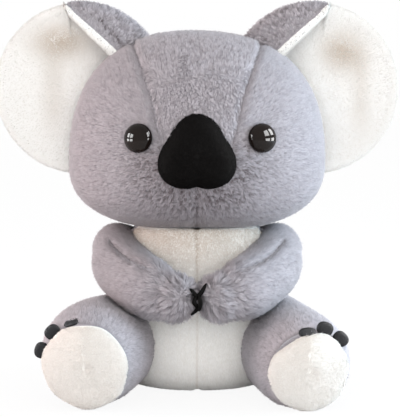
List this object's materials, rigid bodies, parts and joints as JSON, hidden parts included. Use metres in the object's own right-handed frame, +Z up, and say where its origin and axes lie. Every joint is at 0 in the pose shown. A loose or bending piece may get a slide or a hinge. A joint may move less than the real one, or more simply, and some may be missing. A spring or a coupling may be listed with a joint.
{
  "type": "plush koala toy",
  "caption": "Seated plush koala: sewn plush panels over stuffed cores, round ears lined in cream, arms folded over the belly and legs stretched out in front.",
  "frame": {"origin": "on the floor, at the middle of the flat seat under the body", "axes": "+Z up; the koala looks along -Y; +X is to the right for someone who faces the koala, and across the ears"},
  "size_m": [0.29, 0.1819, 0.2762],
  "materials": {
    "grey_plush": "short pile plush, soft and matte",
    "cream_plush": "short pile plush, soft and matte",
    "stuffing": "polyester fibre filling",
    "nose_velvet": "black velvet",
    "eye_plastic": "polished black",
    "washer_plastic": "moulded white plastic",
    "claw_felt": "charcoal felt",
    "claw_thread": "thick black thread"
  },
  "bodies": {
    "torso": {"belly_left": "cream_plush", "belly_right": "cream_plush", "body_back": "grey_plush", "body_filling": "stuffing"},
    "head": {"head_gusset": "grey_plush", "head_side_left": "grey_plush", "head_side_right": "grey_plush", "head_filling": "stuffing", "nose": "nose_velvet", "eye_left": "eye_plastic", "eye_right": "eye_plastic", "eye_washer_left": "washer_plastic", "eye_washer_right": "washer_plastic"},
    "ear_left": {"ear_lining_left": "cream_plush", "ear_back_left": "grey_plush"},
    "ear_right": {"ear_lining_right": "cream_plush", "ear_back_right": "grey_plush"},
    "arms": {"arm_skin_left": "grey_plush", "arm_skin_right": "grey_plush", "arm_filling_left": "stuffing", "arm_filling_right": "stuffing", "paw_thread_left_upper": "claw_thread", "paw_thread_left_lower": "claw_thread", "paw_thread_right_upper": "claw_thread", "paw_thread_right_lower": "claw_thread"},
    "leg_left": {"leg_skin_left": "grey_plush", "leg_filling_left": "stuffing", "sole_left": "cream_plush", "felt_claw_left_1": "claw_felt", "felt_claw_left_2": "claw_felt", "felt_claw_left_3": "claw_felt"},
    "leg_right": {"leg_skin_right": "grey_plush", "leg_filling_right": "stuffing", "sole_right": "cream_plush", "felt_claw_right_1": "claw_felt", "felt_claw_right_2": "claw_felt", "felt_claw_right_3": "claw_felt"}
  },
  "joints": [
    {"name": "head_turn", "type": "hinge", "parent": "torso", "child": "head", "pos_m": [0, 0, 0.116], "axis": [0, 0, 1], "range_deg": [-20, 20], "stiffness_Nm_per_rad": 0.6},
    {"name": "ear_flop_left", "type": "hinge", "parent": "head", "child": "ear_left", "pos_m": [-0.0915, 0.01, 0.1547], "axis": [0.4841, 0, 0.875], "range_deg": [-12, 12], "stiffness_Nm_per_rad": 0.15},
    {"name": "ear_flop_right", "type": "hinge", "parent": "head", "child": "ear_right", "pos_m": [0.0915, 0.01, 0.1547], "axis": [-0.4841, 0, 0.875], "range_deg": [-12, 12], "stiffness_Nm_per_rad": 0.15},
    {"name": "arms_lift", "type": "hinge", "parent": "torso", "child": "arms", "pos_m": [0, 0, 0.0936], "axis": [-1, 0, 0], "range_deg": [0, 12], "stiffness_Nm_per_rad": 0.5},
    {"name": "leg_splay_left", "type": "hinge", "parent": "torso", "child": "leg_left", "pos_m": [-0.052, 0.006, 0.0325], "axis": [0, 0, -1], "range_deg": [0, 15], "stiffness_Nm_per_rad": 0.5},
    {"name": "leg_splay_right", "type": "hinge", "parent": "torso", "child": "leg_right", "pos_m": [0.052, 0.006, 0.0325], "axis": [0, 0, 1], "range_deg": [0, 15], "stiffness_Nm_per_rad": 0.5}
  ]
}
